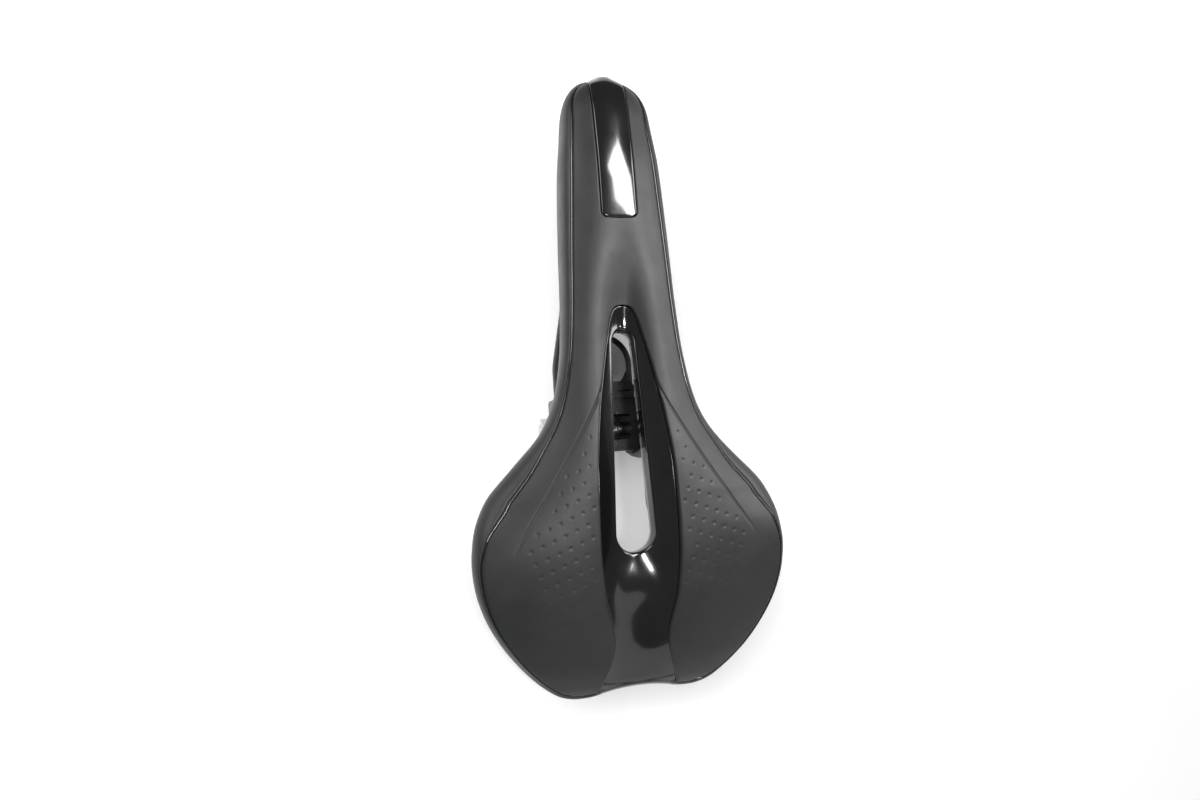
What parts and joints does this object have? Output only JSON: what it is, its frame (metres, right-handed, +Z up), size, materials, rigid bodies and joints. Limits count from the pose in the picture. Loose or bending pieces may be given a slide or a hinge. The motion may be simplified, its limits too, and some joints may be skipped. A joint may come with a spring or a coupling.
{
  "type": "bicycle saddle",
  "caption": "Bicycle saddle with a matt padded cover, a gloss black channel round its cut-out, steel rails and a bolted seat post clamp.",
  "frame": {"origin": "on the seat post's axis, at the lower mouth of the clamp's post strap", "axes": "+Y to the nose of the saddle, +X to the rider's right, +Z up"},
  "size_m": [0.1494, 0.291, 0.0794],
  "materials": {
    "cover": "matt black synthetic leather with a fine grain",
    "skirt": "matt black synthetic leather",
    "gloss_panel": "gloss black",
    "gloss_bead": "gloss black piping",
    "foam": "dark grey polyurethane foam",
    "shell": "matt black moulded plastic",
    "steel_black": "semi-gloss black paint",
    "cast_black": "satin black paint",
    "zinc": "bright zinc plate",
    "staple": "plain steel wire"
  },
  "bodies": {
    "post_collar": {"post_strap": "steel_black", "clamp_cap": "cast_black"},
    "rail_clamp": {"inner_cradle_left": "steel_black", "inner_cradle_right": "steel_black", "outer_clamp_left": "steel_black", "outer_clamp_right": "steel_black", "clamp_bolt": "zinc", "clamp_washer_left": "zinc", "clamp_washer_right": "zinc", "clamp_nut_left": "zinc", "clamp_nut_right": "zinc"},
    "saddle": {"base_shell": "shell", "top_cover": "cover", "side_skirt_left": "skirt", "side_skirt_right": "skirt", "seam_bead_left": "gloss_bead", "seam_bead_right": "gloss_bead", "nose_panel": "gloss_panel", "centre_trim": "gloss_panel", "foam_pad": "foam", "nose_socket": "shell", "rear_socket_left": "shell", "rear_socket_right": "shell", "rail_left": "steel_black", "rail_right": "steel_black", "cover_staples": "staple"}
  },
  "joints": [
    {"name": "tilt", "type": "hinge", "parent": "post_collar", "child": "rail_clamp", "pos_m": [0, -0.0326, 0.015], "axis": [1, 0, 0], "range_deg": [-14, 14]},
    {"name": "slide", "type": "slide", "parent": "rail_clamp", "child": "saddle", "axis": [0, 1, 0], "range_m": [-0.012, 0.012]}
  ]
}
